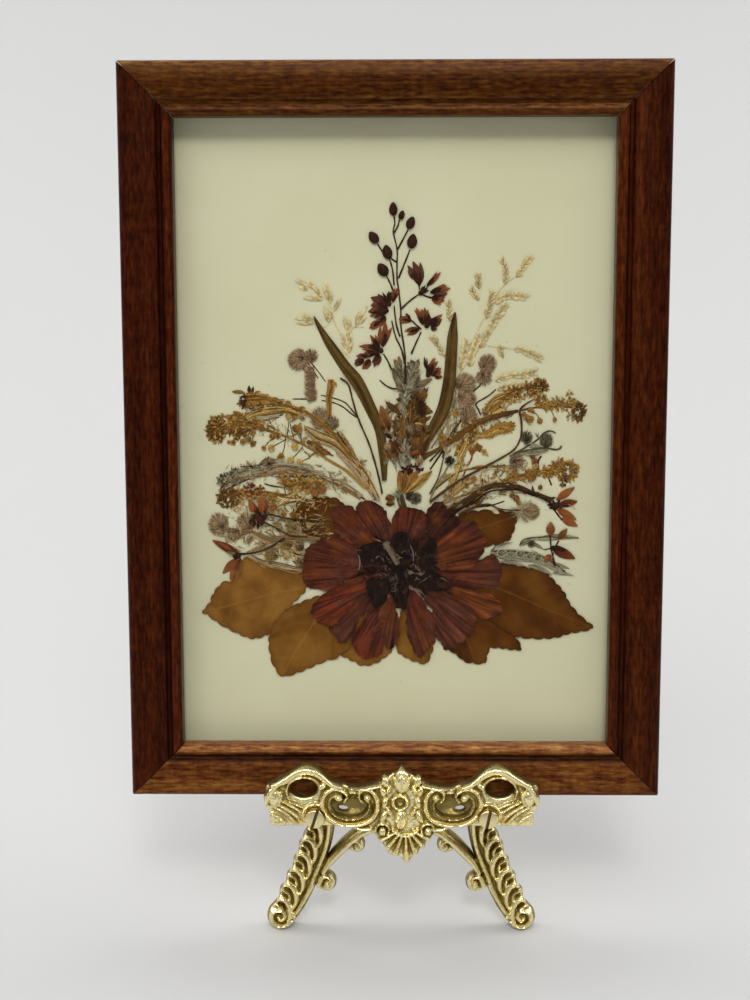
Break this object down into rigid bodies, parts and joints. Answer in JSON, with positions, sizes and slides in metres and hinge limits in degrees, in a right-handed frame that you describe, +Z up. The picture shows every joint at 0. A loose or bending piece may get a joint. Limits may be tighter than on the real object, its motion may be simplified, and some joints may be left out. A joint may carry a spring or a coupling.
{
  "type": "pressed flower frame",
  "caption": "Pressed flowers and leaves on a cream board behind glass in a stained wooden frame, leaning back on a small cast brass easel with a hinged back leg.",
  "frame": {"origin": "middle of the bounding box at the level of the feet", "axes": "+Z up; -Y the way the glass faces; +X to the right of someone who looks at the picture"},
  "size_m": [0.1432, 0.099, 0.2367],
  "materials": {
    "stained_wood": "satin",
    "glass": "gloss",
    "cream_board": "matte",
    "backing_board": "matte",
    "tab_steel": "satin",
    "cast_brass": "polished",
    "ochre_leaf": "matte",
    "umber_leaf": "matte",
    "straw": "matte",
    "olive_leaf": "matte",
    "burgundy": "matte",
    "mauve_head": "matte",
    "taupe_head": "matte",
    "dried_gold": "matte",
    "grey_green": "matte",
    "rust_red": "matte",
    "sienna": "matte",
    "dark_red_petal": "satin",
    "red_petal": "satin",
    "flower_heart": "matte"
  },
  "bodies": {
    "frame_and_easel": {"rail_bottom": "stained_wood", "rail_right": "stained_wood", "rail_top": "stained_wood", "rail_left": "stained_wood", "glass_pane": "glass", "mount_board": "cream_board", "backing_board": "backing_board", "tab_left_low": "tab_steel", "tab_left_high": "tab_steel", "tab_right_low": "tab_steel", "tab_right_high": "tab_steel", "easel_front_bar": "cast_brass", "screw_left": "cast_brass", "screw_right": "cast_brass", "easel_front_legs": "cast_brass", "leaf_far_left": "ochre_leaf", "leaf_lower_left": "ochre_leaf", "leaf_bottom_left": "ochre_leaf", "leaf_bottom_right": "ochre_leaf", "leaf_far_right": "umber_leaf", "leaf_lower_right": "umber_leaf", "leaf_upper_right": "umber_leaf", "leaf_upper_left": "umber_leaf", "pale_grass_left": "straw", "pale_grass_right": "straw", "crimped_heads_left": "mauve_head", "crimped_heads_right": "mauve_head", "round_heads_left": "taupe_head", "trumpet_spray": "dried_gold", "goldenrod_left": "dried_gold", "goldenrod_lower_left": "dried_gold", "goldenrod_right": "dried_gold", "goldenrod_lower_right": "dried_gold", "grey_spray_left": "grey_green", "grey_heads_right": "grey_green", "silver_spike": "grey_green", "grey_flower_head": "grey_green", "red_florets_left": "rust_red", "red_floret_right": "rust_red", "red_floret_lower_right": "rust_red", "burgundy_spray": "burgundy", "long_leaf_left": "olive_leaf", "long_leaf_right": "olive_leaf", "calyx_cluster": "sienna", "petal_lower_left_dusky": "dark_red_petal", "petal_left": "dark_red_petal", "petal_upper_left": "dark_red_petal", "petal_top_left": "dark_red_petal", "petal_top_right_dark": "dark_red_petal", "petal_top": "dark_red_petal", "petal_right": "dark_red_petal", "petal_bottom": "dark_red_petal", "petal_bottom_right": "dark_red_petal", "petal_lower_right": "dark_red_petal", "petal_bottom_left": "dark_red_petal", "petal_upper_right": "red_petal", "petal_lower_right_orange": "red_petal", "petal_lower_left": "red_petal", "flower_heart": "flower_heart"},
    "back_leg": {"easel_back_leg": "cast_brass"}
  },
  "joints": [
    {"name": "back_leg_hinge", "type": "hinge", "parent": "frame_and_easel", "child": "back_leg", "pos_m": [0.0018, -0.00667, 0.08626], "axis": [-1, 0, 0], "range_deg": [0, 44]}
  ]
}
